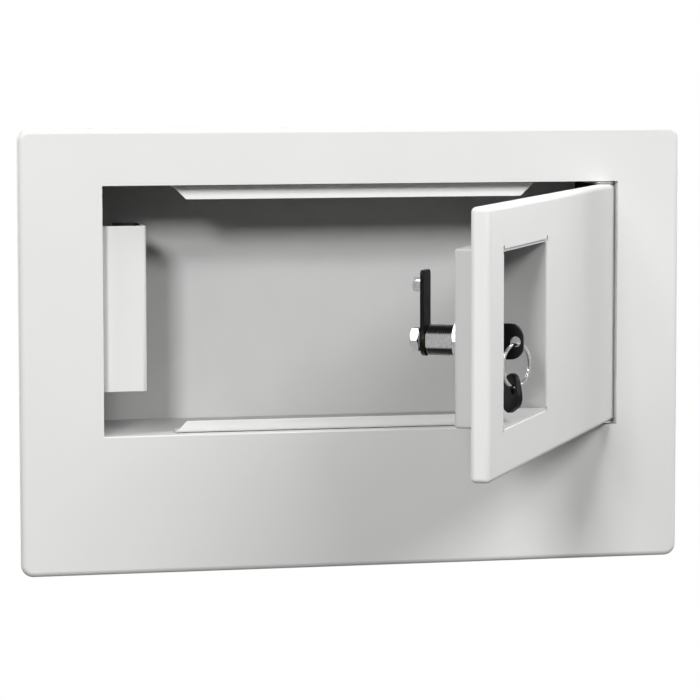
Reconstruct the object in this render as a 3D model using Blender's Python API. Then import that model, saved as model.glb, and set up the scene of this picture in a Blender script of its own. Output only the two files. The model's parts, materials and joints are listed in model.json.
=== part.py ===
import math

import bmesh
import bpy
from mathutils import Matrix, Vector

# Recessed wall safe. X runs right, Y into the wall, Z up, all in metres.
# The origin is the centre of the body's back face; the doorway is centred on X and Z.

# Sheet and clearances
SHEET = 0.0019
THIN_SHEET = 0.0015
CLEARANCE = 0.0003
CORNER_CLEARANCE = 0.0005
OVERRUN = 0.002
WELD_DISTANCE = 0.000002
LEAST_CORNER = 0.0005
BEND_STEPS = 3
ROUND_SIDES = 32
SMALL_SIDES = 24
SMOOTH_ANGLE = math.radians(35)

# Face plate and doorway: four borders round the opening
OPENING_WIDTH = 0.357
OPENING_HEIGHT = 0.168
LEFT_BORDER = 0.056
RIGHT_BORDER = 0.044
TOP_BORDER = 0.038
BOTTOM_BORDER = 0.093
PLATE_CORNER = 0.008
RIM_DEPTH = 0.0065
RIM_BEND = 0.0035
BODY_DEPTH = 0.100

# Door
DOOR_SIDE_GAP = 0.0015
DOOR_THICKNESS = 0.0123
DOOR_BEND = 0.003
DOOR_RETURN = 0.009
OPEN_ANGLE = math.radians(61)
PIVOT_INSET = 0.0052
PIVOT_RADIUS = 0.0018
LEAF_SHEET = 0.0016

# Lock and pocket, set out from the door's free edge and front
POCKET_FROM_EDGE = 0.0335
POCKET_WIDTH = 0.114
POCKET_HEIGHT = 0.1085
POCKET_RISE = 0.0009
POCKET_DEPTH = 0.0305
LOCK_FROM_EDGE = 0.069
LOCK_RISE = -0.0031
LOCK_RADIUS = 0.0095
PLUG_RADIUS = 0.0063
DRIVE_WIDTH = 0.008
CAM_SHEET = 0.0025
CAM_REACH = 0.043

# Key
KEY_SHEET = 0.002
KEY_HEAD_SHEET = 0.004
KEY_BLADE_HEIGHT = 0.0074
KEY_BOW_LENGTH = 0.024
KEY_BOW_HEIGHT = 0.022
KEY_OUTSIDE = 0.0314
KEY_HOLE_RADIUS = 0.0033
KEY_HOLE_INSET = 0.0048
RING_RADIUS = 0.013
RING_WIRE = 0.001

# Places worked out from the sizes above
WALL_Y = -BODY_DEPTH
FRONT_Y = WALL_Y - RIM_DEPTH
HALF_OPENING = OPENING_WIDTH / 2
HALF_OPENING_HEIGHT = OPENING_HEIGHT / 2
PLATE_WIDTH = LEFT_BORDER + OPENING_WIDTH + RIGHT_BORDER
PLATE_HEIGHT = BOTTOM_BORDER + OPENING_HEIGHT + TOP_BORDER
PLATE_X = (RIGHT_BORDER - LEFT_BORDER) / 2
PLATE_Z = (TOP_BORDER - BOTTOM_BORDER) / 2
DOOR_END_GAP = LEAF_SHEET + 2 * CLEARANCE
HALF_DOOR = HALF_OPENING - DOOR_SIDE_GAP
HALF_DOOR_HEIGHT = HALF_OPENING_HEIGHT - DOOR_END_GAP
DOOR_SKIN_Y = FRONT_Y + SHEET
DOOR_REAR_Y = FRONT_Y + DOOR_THICKNESS
PIVOT = Vector((HALF_DOOR - PIVOT_INSET, FRONT_Y + PIVOT_INSET, 0))
POCKET_X = POCKET_FROM_EDGE + POCKET_WIDTH / 2 - HALF_DOOR
LOCK_X = LOCK_FROM_EDGE - HALF_DOOR
POCKET_FLOOR_Y = FRONT_Y + POCKET_DEPTH


def clear_scene():
    for item in list(bpy.data.objects):
        bpy.data.objects.remove(item, do_unlink=True)


def paint(item, name, colour, metallic, roughness):
    material = bpy.data.materials.get(name) or bpy.data.materials.new(name)
    material.use_nodes = True
    shader = material.node_tree.nodes["Principled BSDF"]
    shader.inputs["Base Color"].default_value = (*colour, 1)
    shader.inputs["Metallic"].default_value = metallic
    shader.inputs["Roughness"].default_value = roughness
    item.data.materials.clear()
    item.data.materials.append(material)


def painted(item):
    paint(item, item.name + "_paint", (0.68, 0.68, 0.67), 0, 0.45)


def plated(item):
    paint(item, item.name + "_plating", (0.60, 0.60, 0.61), 1, 0.28)


def bare_steel(item):
    paint(item, item.name + "_steel", (0.42, 0.42, 0.43), 1, 0.4)


def brass(item):
    paint(item, item.name + "_brass", (0.62, 0.48, 0.22), 1, 0.35)


def moulded(item):
    paint(item, item.name + "_plastic", (0.02, 0.02, 0.02), 0, 0.4)


def make_object(name, mesh_edit):
    bmesh.ops.remove_doubles(mesh_edit, verts=mesh_edit.verts, dist=WELD_DISTANCE)
    bmesh.ops.recalc_face_normals(mesh_edit, faces=mesh_edit.faces)
    mesh = bpy.data.meshes.new(name)
    mesh_edit.to_mesh(mesh)
    mesh_edit.free()
    item = bpy.data.objects.new(name, mesh)
    bpy.context.collection.objects.link(item)
    return item


def smooth(item):
    item.data.shade_smooth()
    item.data.set_sharp_from_angle(angle=SMOOTH_ANGLE)


def place_point(point, along, axis):
    first, second = point
    if axis == "X":
        return Vector((along, first, second))
    if axis == "Y":
        return Vector((first, along, second))
    return Vector((first, second, along))


def arc(centre, radius, start, stop, steps):
    points = []
    for step in range(steps + 1):
        angle = start + (stop - start) * step / steps
        points.append((centre[0] + radius * math.cos(angle), centre[1] + radius * math.sin(angle)))
    return points


def circle(centre, radius, sides=ROUND_SIDES):
    return arc(centre, radius, 0, math.tau * (sides - 1) / sides, sides - 1)


def rounded_rectangle(centre, half_width, half_height, radius, steps=BEND_STEPS):
    corner = min(max(radius, LEAST_CORNER), half_width, half_height)
    across = half_width - corner
    up = half_height - corner
    points = []
    for turn, (side, end) in enumerate(((1, 1), (-1, 1), (-1, -1), (1, -1))):
        middle = (centre[0] + side * across, centre[1] + end * up)
        start = turn * math.pi / 2
        points += arc(middle, corner, start, start + math.pi / 2, steps)
    return points


def flatted_circle(centre, radius, half_flat):
    angle = math.acos(half_flat / radius)
    steps = SMALL_SIDES // 2
    upper = arc(centre, radius, angle, math.pi - angle, steps)
    lower = arc(centre, radius, math.pi + angle, math.tau - angle, steps)
    return upper + lower


def hexagon(centre, across_flats):
    return circle(centre, across_flats / 2 / math.cos(math.pi / 6), 6)


def prism(name, outline, axis, start, stop):
    mesh_edit = bmesh.new()
    corners = [mesh_edit.verts.new(place_point(point, start, axis)) for point in outline]
    base = mesh_edit.faces.new(corners)
    swept = bmesh.ops.extrude_face_region(mesh_edit, geom=[base])
    moved = [part for part in swept["geom"] if isinstance(part, bmesh.types.BMVert)]
    bmesh.ops.translate(mesh_edit, verts=moved, vec=place_point((0, 0), stop - start, axis))
    return make_object(name, mesh_edit)


def ring_shell(name, rings, axis="Y", closed=False):
    mesh_edit = bmesh.new()
    loops = []
    for outline, along in rings:
        corners = [mesh_edit.verts.new(place_point(point, along, axis)) for point in outline]
        loops.append(corners)
    pairs = list(zip(loops, loops[1:]))
    if closed:
        pairs.append((loops[-1], loops[0]))
    else:
        mesh_edit.faces.new(loops[0])
        mesh_edit.faces.new(loops[-1])
    for near, far in pairs:
        for index in range(len(near)):
            after = (index + 1) % len(near)
            mesh_edit.faces.new((near[index], near[after], far[after], far[index]))
    return make_object(name, mesh_edit)


def bent_sheet(line, sheet, inner_radius):
    # The sheet lies to the left of the line; a left bend is tight on the sheet's far side
    line = [Vector(point) for point in line]
    near = [line[0]]
    first_way = (line[1] - line[0]).normalized()
    far = [line[0] + first_way.orthogonal() * sheet]
    for before, corner, after in zip(line, line[1:], line[2:]):
        way_in = (corner - before).normalized()
        way_out = (after - corner).normalized()
        turn = math.atan2(way_in.cross(way_out), way_in.dot(way_out))
        side = math.copysign(1, turn)
        radius = inner_radius + sheet if side > 0 else inner_radius
        other = radius - side * sheet
        setback = radius * math.tan(abs(turn) / 2)
        centre = corner - way_in * setback + way_in.orthogonal() * side * radius
        for step in range(BEND_STEPS + 1):
            swing = Matrix.Rotation(turn * step / BEND_STEPS, 2)
            spoke = swing @ (-way_in.orthogonal() * side)
            near.append(centre + spoke * radius)
            far.append(centre + spoke * other)
    last_way = (line[-1] - line[-2]).normalized()
    near.append(line[-1])
    far.append(line[-1] + last_way.orthogonal() * sheet)
    return [tuple(point) for point in near + far[::-1]]


def combine(item, tool, operation):
    boolean = item.modifiers.new("combine", "BOOLEAN")
    boolean.operation = operation
    boolean.solver = "EXACT"
    boolean.object = tool
    bpy.context.view_layer.update()
    evaluated = item.evaluated_get(bpy.context.evaluated_depsgraph_get())
    result = bpy.data.meshes.new_from_object(evaluated)
    item.modifiers.clear()
    item.data = result
    bpy.data.objects.remove(tool, do_unlink=True)


def cut(item, cutter):
    combine(item, cutter, "DIFFERENCE")


def unite(item, other):
    combine(item, other, "UNION")


def cut_hole(item, centre, radius, axis, start, stop, sides=SMALL_SIDES):
    cut(item, prism("hole", circle(centre, radius, sides), axis, start, stop))


def pivot_frame(name, origin, parent=None, parent_origin=None, angle=0.0):
    empty = bpy.data.objects.new(name, None)
    bpy.context.collection.objects.link(empty)
    empty.parent = parent
    empty.location = origin - parent_origin if parent else origin
    empty.rotation_euler = (0, 0, angle)
    return empty


def carry(item, empty, origin):
    item.data.transform(Matrix.Translation(-origin))
    item.parent = empty


def bend_rings(inset, along, radius, toward_inset, toward_along):
    # A bend that runs round a pan: each ring is (inset from the outline, place along Y)
    rings = []
    for step in range(BEND_STEPS + 1):
        angle = math.pi / 2 * step / BEND_STEPS
        rings.append((inset + toward_inset * radius * (1 - math.sin(angle)),
                      along + toward_along * radius * (1 - math.cos(angle))))
    return rings


def pan_rings(centre, half_width, half_height, corner, rings):
    result = []
    for inset, along in rings:
        outline = rounded_rectangle(centre, half_width - inset, half_height - inset, corner - inset)
        result.append((outline, along))
    return result


# Face plate: a shallow pan with the doorway cut in it
def face_plate():
    outer = bend_rings(0, FRONT_Y, RIM_BEND, 1, 1)
    inner = bend_rings(SHEET, FRONT_Y + SHEET, RIM_BEND - SHEET, 1, 1)[::-1]
    rings = outer + [(0, WALL_Y), (SHEET, WALL_Y)] + inner
    centre = (PLATE_X, PLATE_Z)
    plate = ring_shell("face_plate", pan_rings(centre, PLATE_WIDTH / 2, PLATE_HEIGHT / 2, PLATE_CORNER, rings))
    doorway = rounded_rectangle((0, 0), HALF_OPENING, HALF_OPENING_HEIGHT, LEAST_CORNER)
    cut(plate, prism("doorway", doorway, "Y", FRONT_Y - OVERRUN, WALL_Y))
    painted(plate)


# Body: a four-sided wrap turned out behind the plate, and a back lapped over it
TUB_FLANGE = 0.015
TUB_CORNER = 0.0012
TUB_INNER_BEND = 0.0005
BACK_FLANGE = 0.012
BACK_BEND = 0.003
FIXING_RADIUS = 0.0035
FIXING_FROM_PLATE = 0.044
FIXING_HALF_SPACING = 0.050
FLANGE_FRONT_Y = FRONT_Y + SHEET + CLEARANCE
FLANGE_REAR_Y = FLANGE_FRONT_Y + SHEET
WRAP_REAR_Y = -SHEET - CORNER_CLEARANCE


def tub_wrap():
    bend = TUB_INNER_BEND + SHEET
    inside = bend_rings(0, FLANGE_FRONT_Y, bend, -1, 1)
    outside = bend_rings(-SHEET, FLANGE_REAR_Y, TUB_INNER_BEND, -1, 1)[::-1]
    rings = [(-TUB_FLANGE, FLANGE_FRONT_Y)] + inside + [(0, WRAP_REAR_Y), (-SHEET, WRAP_REAR_Y)]
    rings += outside + [(-TUB_FLANGE, FLANGE_REAR_Y)]
    loops = pan_rings((0, 0), HALF_OPENING, HALF_OPENING_HEIGHT, TUB_CORNER, rings)
    wrap = ring_shell("tub_wrap", loops, closed=True)
    for side in (-1, 1):
        for end in (-1, 1):
            centre = (WALL_Y + FIXING_FROM_PLATE, end * FIXING_HALF_SPACING)
            start = side * (HALF_OPENING - OVERRUN)
            stop = side * (HALF_OPENING + SHEET + OVERRUN)
            cut_hole(wrap, centre, FIXING_RADIUS, "X", start, stop)
    for end in (-1, 1):
        for rivet_y in rivet_places():
            start = end * (HALF_OPENING_HEIGHT - OVERRUN)
            stop = end * (HALF_OPENING_HEIGHT + SHEET + OVERRUN)
            cut_hole(wrap, (LEAF_X, rivet_y), RIVET_RADIUS + CLEARANCE, "Z", start, stop)
    painted(wrap)


def tub_back():
    outer = bend_rings(0, 0, BACK_BEND, 1, -1)
    inner = bend_rings(SHEET, -SHEET, BACK_BEND - SHEET, 1, -1)[::-1]
    rings = outer + [(0, -BACK_FLANGE), (SHEET, -BACK_FLANGE)] + inner
    outset = 2 * SHEET + CLEARANCE
    corner = TUB_CORNER + outset
    loops = pan_rings((0, 0), HALF_OPENING + outset, HALF_OPENING_HEIGHT + outset, corner, rings)
    painted(ring_shell("tub_back", loops))


# Stop lips: angle strips, mitred at their ends, that the closed door's rear face meets
STOP_CLEARANCE = 0.0007
LIP_LEG = 0.013
LIP_BEND = 0.0008
LIP_TIP_LENGTH = 0.233
LIP_SHIFT = -0.0035
TOP_LIP_HEIGHT = 0.010
BOTTOM_LIP_HEIGHT = 0.0082
STOP_Y = DOOR_REAR_Y + STOP_CLEARANCE


def stop_lip(name, end, height):
    root = HALF_OPENING_HEIGHT - CLEARANCE
    tip = HALF_OPENING_HEIGHT - height
    line = [(STOP_Y + LIP_LEG, root), (STOP_Y, root), (STOP_Y, tip)]
    outline = bent_sheet(line, THIN_SHEET, LIP_BEND)
    half_root = LIP_TIP_LENGTH / 2 + root - tip
    lip = prism(name, outline, "X", LIP_SHIFT - half_root, LIP_SHIFT + half_root)
    mesh_edit = bmesh.new()
    mesh_edit.from_mesh(lip.data)
    for side in (-1, 1):
        corner = Vector((LIP_SHIFT + side * half_root, STOP_Y, root))
        whole = mesh_edit.verts[:] + mesh_edit.edges[:] + mesh_edit.faces[:]
        cut_edges = bmesh.ops.bisect_plane(mesh_edit, geom=whole, plane_co=corner,
                                           plane_no=Vector((side, 0, -1)), clear_outer=True)
        bmesh.ops.holes_fill(mesh_edit, edges=[part for part in cut_edges["geom_cut"]
                                               if isinstance(part, bmesh.types.BMEdge)])
    if end < 0:
        bmesh.ops.scale(mesh_edit, verts=mesh_edit.verts, vec=(1, 1, -1))
    bmesh.ops.recalc_face_normals(mesh_edit, faces=mesh_edit.faces)
    mesh_edit.to_mesh(lip.data)
    mesh_edit.free()
    painted(lip)


# Strike: a channel on the left wall, whose rear flange the cam turns behind
STRIKE_HEIGHT = 0.1115
STRIKE_RISE = 0.0009
STRIKE_WIDTH = 0.0315
STRIKE_DEPTH = 0.0429
STRIKE_TAB = 0.024
STRIKE_REAR_FLANGE = 0.017
STRIKE_BEND = 0.0008
STRIKE_REAR_Y = STOP_Y + STRIKE_DEPTH


def strike_channel():
    wall_x = CLEARANCE - HALF_OPENING
    web_x = STRIKE_WIDTH - HALF_OPENING
    line = [(wall_x, STOP_Y + STRIKE_TAB), (wall_x, STOP_Y), (web_x, STOP_Y),
            (web_x, STRIKE_REAR_Y), (web_x - STRIKE_REAR_FLANGE, STRIKE_REAR_Y)]
    outline = bent_sheet(line, SHEET, STRIKE_BEND)
    half = STRIKE_HEIGHT / 2
    painted(prism("strike_channel", outline, "Z", STRIKE_RISE - half, STRIKE_RISE + half))


# Hinge leaves: flat plates riveted to the roof and the floor of the body
LEAF_WIDTH = 0.014
LEAF_LENGTH = 0.045
LEAF_SIDE_GAP = 0.001
LEAF_CORNER = 0.003
RIVET_RADIUS = 0.002
RIVET_HEAD_RADIUS = 0.0038
RIVET_HEAD = 0.0013
RIVET_HEAD_EDGE = 0.0006
RIVET_FIRST = 0.025
RIVET_SPACING = 0.015
LEAF_X = HALF_OPENING - LEAF_SIDE_GAP - LEAF_WIDTH / 2
LEAF_FRONT_Y = FLANGE_FRONT_Y + CLEARANCE
LEAF_FACE_Z = HALF_OPENING_HEIGHT - CLEARANCE


def rivet_places():
    return (FRONT_Y + RIVET_FIRST, FRONT_Y + RIVET_FIRST + RIVET_SPACING)


def hinge_leaf(name, end):
    middle = (LEAF_X, LEAF_FRONT_Y + LEAF_LENGTH / 2)
    outline = rounded_rectangle(middle, LEAF_WIDTH / 2, LEAF_LENGTH / 2, LEAF_CORNER)
    inner_z = LEAF_FACE_Z - LEAF_SHEET
    leaf = prism(name, outline, "Z", end * inner_z, end * LEAF_FACE_Z)
    start = end * (inner_z - OVERRUN)
    stop = end * (LEAF_FACE_Z + OVERRUN)
    cut_hole(leaf, (PIVOT.x, PIVOT.y), PIVOT_RADIUS + CLEARANCE, "Z", start, stop)
    for rivet_y in rivet_places():
        cut_hole(leaf, (LEAF_X, rivet_y), RIVET_RADIUS + CLEARANCE, "Z", start, stop)
    bare_steel(leaf)


def hinge_rivet(name, end, rivet_y):
    inner_z = LEAF_FACE_Z - LEAF_SHEET
    seat_z = HALF_OPENING_HEIGHT + SHEET + CLEARANCE
    centre = (LEAF_X, rivet_y)
    rings = [(circle(centre, RIVET_RADIUS, SMALL_SIDES), end * inner_z),
             (circle(centre, RIVET_RADIUS, SMALL_SIDES), end * seat_z),
             (circle(centre, RIVET_HEAD_RADIUS, SMALL_SIDES), end * seat_z),
             (circle(centre, RIVET_HEAD_RADIUS, SMALL_SIDES), end * (seat_z + RIVET_HEAD_EDGE)),
             (circle(centre, RIVET_RADIUS, SMALL_SIDES), end * (seat_z + RIVET_HEAD))]
    rivet = ring_shell(name, rings, axis="Z")
    smooth(rivet)
    bare_steel(rivet)


# Door skin: a folded pan with return lips, the pocket's mouth cut in it
RELIEF_RADIUS = 0.002
RELIEF_SIDES = 12


def door_skin():
    front = bend_rings(0, FRONT_Y, DOOR_BEND, 1, 1)
    rear = bend_rings(0, DOOR_REAR_Y, DOOR_BEND, 1, -1)[::-1]
    inner_bend = DOOR_BEND - SHEET
    inner_rear = bend_rings(SHEET, DOOR_REAR_Y - SHEET, inner_bend, 1, -1)
    inner_front = bend_rings(SHEET, DOOR_SKIN_Y, inner_bend, 1, 1)[::-1]
    lip = [(DOOR_RETURN, DOOR_REAR_Y), (DOOR_RETURN, DOOR_REAR_Y - SHEET)]
    rings = front + rear + lip + inner_rear + inner_front
    skin = ring_shell("door_skin", pan_rings((0, 0), HALF_DOOR, HALF_DOOR_HEIGHT, DOOR_BEND, rings))
    half_width = POCKET_WIDTH / 2
    half_height = POCKET_HEIGHT / 2
    mouth = rounded_rectangle((POCKET_X, POCKET_RISE), half_width, half_height, LEAST_CORNER)
    cut(skin, prism("mouth", mouth, "Y", FRONT_Y - OVERRUN, DOOR_SKIN_Y + OVERRUN))
    for side in (-1, 1):
        for end in (-1, 1):
            centre = (POCKET_X + side * half_width, POCKET_RISE + end * half_height)
            cut_hole(skin, centre, RELIEF_RADIUS, "Y", FRONT_Y - OVERRUN, DOOR_SKIN_Y + OVERRUN, RELIEF_SIDES)
    for end in (-1, 1):
        start = end * (HALF_DOOR_HEIGHT - SHEET - OVERRUN)
        stop = end * (HALF_DOOR_HEIGHT + OVERRUN)
        cut_hole(skin, (PIVOT.x, PIVOT.y), PIVOT_RADIUS + CLEARANCE, "Z", start, stop)
    painted(skin)
    return skin


# Door stiffener: a hat channel welded up the inside of the skin
HAT_SHEET = 0.0012
HAT_PLACE_SHARE = 0.5
HAT_TOP_HALF = 0.011
HAT_HALF = 0.021
HAT_BEND = 0.0008


def door_stiffener():
    left = POCKET_X + POCKET_WIDTH / 2 + POCKET_FLANGE
    right = HALF_DOOR - SHEET - CORNER_CLEARANCE - BLOCK_LENGTH
    middle = left + (right - left) * HAT_PLACE_SHARE
    near = DOOR_SKIN_Y + CLEARANCE
    far = DOOR_REAR_Y - SHEET - CLEARANCE - HAT_SHEET
    line = [(middle - HAT_HALF, near), (middle - HAT_TOP_HALF, near), (middle - HAT_TOP_HALF, far),
            (middle + HAT_TOP_HALF, far), (middle + HAT_TOP_HALF, near), (middle + HAT_HALF, near)]
    outline = bent_sheet(line, HAT_SHEET, HAT_BEND)
    half = HALF_DOOR_HEIGHT - SHEET - CORNER_CLEARANCE
    hat = prism("door_stiffener", outline, "Z", -half, half)
    painted(hat)
    return hat


# Hinge blocks inside the door's corners, and the pivot pins fixed in them
BLOCK_LENGTH = 0.030
BLOCK_HEIGHT = 0.006
PIN_CHAMFER = 0.0004


def hinge_block(name, end):
    left = HALF_DOOR - SHEET - CORNER_CLEARANCE - BLOCK_LENGTH
    right = left + BLOCK_LENGTH
    near = DOOR_SKIN_Y + CORNER_CLEARANCE
    far = DOOR_REAR_Y - SHEET - CORNER_CLEARANCE
    outline = [(left, near), (right, near), (right, far), (left, far)]
    outer_z = HALF_DOOR_HEIGHT - SHEET - CORNER_CLEARANCE
    inner_z = outer_z - BLOCK_HEIGHT
    block = prism(name, outline, "Z", end * inner_z, end * outer_z)
    start = end * (inner_z - OVERRUN)
    stop = end * (outer_z + OVERRUN)
    cut_hole(block, (PIVOT.x, PIVOT.y), PIVOT_RADIUS + CLEARANCE, "Z", start, stop)
    bare_steel(block)
    return block


def hinge_pin(name, end):
    outer_z = LEAF_FACE_Z
    inner_z = HALF_DOOR_HEIGHT - SHEET - CORNER_CLEARANCE - BLOCK_HEIGHT
    centre = (PIVOT.x, PIVOT.y)
    rings = [(circle(centre, PIVOT_RADIUS, SMALL_SIDES), end * inner_z),
             (circle(centre, PIVOT_RADIUS, SMALL_SIDES), end * (outer_z - PIN_CHAMFER)),
             (circle(centre, PIVOT_RADIUS - PIN_CHAMFER, SMALL_SIDES), end * outer_z)]
    pin = ring_shell(name, rings, axis="Z")
    smooth(pin)
    bare_steel(pin)
    return pin


# Lock pocket: a welded box behind the skin, open to the front
POCKET_FLANGE = 0.009


def lock_pocket():
    near = DOOR_SKIN_Y + CLEARANCE
    flange_rear = near + THIN_SHEET
    floor_rear = POCKET_FLOOR_Y + THIN_SHEET
    rings = [(0, POCKET_FLOOR_Y), (0, near), (-POCKET_FLANGE, near), (-POCKET_FLANGE, flange_rear),
             (-THIN_SHEET, flange_rear), (-THIN_SHEET, floor_rear)]
    centre = (POCKET_X, POCKET_RISE)
    pocket = ring_shell("lock_pocket", pan_rings(centre, POCKET_WIDTH / 2, POCKET_HEIGHT / 2, 0, rings))
    hole = flatted_circle((LOCK_X, LOCK_RISE), LOCK_RADIUS + CLEARANCE, LOCK_HALF_FLAT + CLEARANCE)
    cut(pocket, prism("lock_hole", hole, "Y", POCKET_FLOOR_Y - OVERRUN, floor_rear + OVERRUN))
    painted(pocket)
    return pocket


# Cam lock: body through the pocket's floor, held by a washer and a nut
LOCK_HALF_FLAT = 0.0082
LOCK_HEAD_RADIUS = 0.011
LOCK_HEAD = 0.0026
LOCK_LENGTH = 0.0258
LOCK_BEVEL = 0.0008
LOCK_WASHER_RADIUS = 0.0132
LOCK_WASHER = 0.0012
LOCK_NUT_FLATS = 0.022
LOCK_NUT = 0.005
LOCK_SEAT_Y = POCKET_FLOOR_Y - CLEARANCE
LOCK_FACE_Y = LOCK_SEAT_Y - LOCK_HEAD
LOCK_REAR_Y = LOCK_SEAT_Y + LOCK_LENGTH
LOCK_WASHER_Y = POCKET_FLOOR_Y + THIN_SHEET + CLEARANCE
LOCK_NUT_Y = LOCK_WASHER_Y + LOCK_WASHER + CLEARANCE
LOCK_CENTRE = (LOCK_X, LOCK_RISE)


def lock_body():
    head_rings = [(circle(LOCK_CENTRE, LOCK_HEAD_RADIUS - LOCK_BEVEL), LOCK_FACE_Y),
                  (circle(LOCK_CENTRE, LOCK_HEAD_RADIUS), LOCK_FACE_Y + LOCK_BEVEL),
                  (circle(LOCK_CENTRE, LOCK_HEAD_RADIUS), LOCK_SEAT_Y)]
    body = ring_shell("lock_body", head_rings)
    barrel = prism("barrel", flatted_circle(LOCK_CENTRE, LOCK_RADIUS, LOCK_HALF_FLAT), "Y",
                   LOCK_FACE_Y + LOCK_BEVEL, LOCK_REAR_Y)
    unite(body, barrel)
    cut_hole(body, LOCK_CENTRE, PLUG_RADIUS + CLEARANCE, "Y", LOCK_FACE_Y - OVERRUN, LOCK_REAR_Y + OVERRUN,
             ROUND_SIDES)
    smooth(body)
    plated(body)
    return body


def ring_plate(name, outline, bore, near, far):
    return ring_shell(name, [(outline, near), (outline, far), (bore, far), (bore, near)], closed=True)


def lock_washer():
    outer = circle(LOCK_CENTRE, LOCK_WASHER_RADIUS)
    bore = circle(LOCK_CENTRE, LOCK_RADIUS + CLEARANCE)
    washer = ring_plate("lock_washer", outer, bore, LOCK_WASHER_Y, LOCK_WASHER_Y + LOCK_WASHER)
    smooth(washer)
    plated(washer)
    return washer


def lock_nut():
    nut = prism("lock_nut", hexagon(LOCK_CENTRE, LOCK_NUT_FLATS), "Y", LOCK_NUT_Y, LOCK_NUT_Y + LOCK_NUT)
    cut_hole(nut, LOCK_CENTRE, LOCK_RADIUS + CLEARANCE, "Y", LOCK_NUT_Y - OVERRUN,
             LOCK_NUT_Y + LOCK_NUT + OVERRUN, ROUND_SIDES)
    smooth(nut)
    plated(nut)
    return nut


# Plug: the turning core, slotted for the key and the wafers, square and threaded behind
KEYWAY_DEPTH = 0.022
WAFER_COUNT = 5
WAFER_PITCH = 0.003
WAFER_SHEET = 0.001
WAFER_HALF_WIDTH = 0.0028
WAFER_HALF_HEIGHT = 0.0056
WAFER_WINDOW_SIDE = 0.0004
WAFER_FIRST = 0.0034
STUD_RADIUS = 0.003
STUD_LENGTH = 0.0081
CAM_GAP = 0.001
CAM_Y = LOCK_REAR_Y + CAM_GAP
CAM_REAR_Y = CAM_Y + CAM_SHEET


def box(name, centre, half, near, far):
    left, right = centre[0] - half[0], centre[0] + half[0]
    low, high = centre[1] - half[1], centre[1] + half[1]
    return prism(name, [(left, low), (right, low), (right, high), (left, high)], "Y", near, far)


def wafer_places():
    return [LOCK_FACE_Y + WAFER_FIRST + WAFER_PITCH * index for index in range(WAFER_COUNT)]


def lock_plug():
    shoulder = CAM_Y - CLEARANCE
    plug = ring_shell("lock_plug", [(circle(LOCK_CENTRE, PLUG_RADIUS), LOCK_FACE_Y),
                                    (circle(LOCK_CENTRE, PLUG_RADIUS), shoulder)])
    half = DRIVE_WIDTH / 2
    drive = box("drive", LOCK_CENTRE, (half, half), shoulder - OVERRUN, CAM_REAR_Y)
    unite(plug, drive)
    stud = prism("stud", circle(LOCK_CENTRE, STUD_RADIUS, SMALL_SIDES), "Y",
                 CAM_REAR_Y - OVERRUN, CAM_REAR_Y + STUD_LENGTH)
    unite(plug, stud)
    keyway_half = (KEY_SHEET / 2 + CLEARANCE, KEY_BLADE_HEIGHT / 2 + CLEARANCE)
    cut(plug, box("keyway", LOCK_CENTRE, keyway_half, LOCK_FACE_Y - OVERRUN, LOCK_FACE_Y + KEYWAY_DEPTH))
    side = (WAFER_HALF_WIDTH + CLEARANCE / 2, PLUG_RADIUS + OVERRUN)
    for place in wafer_places():
        slot = WAFER_SHEET / 2 + CLEARANCE / 2
        cut(plug, box("slot", LOCK_CENTRE, side, place - slot, place + slot))
    smooth(plug)
    brass(plug)
    return plug


def wafer_tumbler(name, place):
    half_window = (KEY_SHEET / 2 + WAFER_WINDOW_SIDE, KEY_BLADE_HEIGHT / 2 + CLEARANCE)
    near = place - WAFER_SHEET / 2
    outline = rounded_rectangle(LOCK_CENTRE, WAFER_HALF_WIDTH, WAFER_HALF_HEIGHT, LEAST_CORNER)
    window = rounded_rectangle(LOCK_CENTRE, half_window[0], half_window[1], LEAST_CORNER)
    wafer = ring_plate(name, outline, window, near, near + WAFER_SHEET)
    brass(wafer)
    return wafer


# Cam with its boss, washer and nut on the plug's threaded end
CAM_HUB_RADIUS = 0.010
CAM_HALF_WIDTH = 0.008
CAM_TIP_RADIUS = 0.003
CAM_BOSS_RISE = 0.034
CAM_BOSS_RADIUS = 0.0045
CAM_BOSS = 0.0058
CAM_WASHER_RADIUS = 0.007
CAM_WASHER = 0.001
CAM_NUT_FLATS = 0.014
CAM_NUT = 0.005
CAM_WASHER_Y = CAM_REAR_Y + CLEARANCE
CAM_NUT_Y = CAM_WASHER_Y + CAM_WASHER + CLEARANCE


def cam():
    x, z = LOCK_CENTRE
    start = math.acos(CAM_HALF_WIDTH / CAM_HUB_RADIUS)
    hub = arc(LOCK_CENTRE, CAM_HUB_RADIUS, math.pi - start, math.tau + start, SMALL_SIDES)
    inner = CAM_HALF_WIDTH - CAM_TIP_RADIUS
    top = z + CAM_REACH - CAM_TIP_RADIUS
    right_tip = arc((x + inner, top), CAM_TIP_RADIUS, 0, math.pi / 2, BEND_STEPS)
    left_tip = arc((x - inner, top), CAM_TIP_RADIUS, math.pi / 2, math.pi, BEND_STEPS)
    plate = prism("cam", hub + right_tip + left_tip, "Y", CAM_Y, CAM_REAR_Y)
    half = DRIVE_WIDTH / 2 + CLEARANCE
    cut(plate, box("square", LOCK_CENTRE, (half, half), CAM_Y - OVERRUN, CAM_REAR_Y + OVERRUN))
    smooth(plate)
    plated(plate)
    return plate


def cam_boss():
    centre = (LOCK_X, LOCK_RISE + CAM_BOSS_RISE)
    near = CAM_REAR_Y + CLEARANCE
    rings = [(circle(centre, CAM_BOSS_RADIUS), near),
             (circle(centre, CAM_BOSS_RADIUS), near + CAM_BOSS - LOCK_BEVEL),
             (circle(centre, CAM_BOSS_RADIUS - LOCK_BEVEL), near + CAM_BOSS)]
    boss = ring_shell("cam_boss", rings)
    smooth(boss)
    plated(boss)
    return boss


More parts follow.
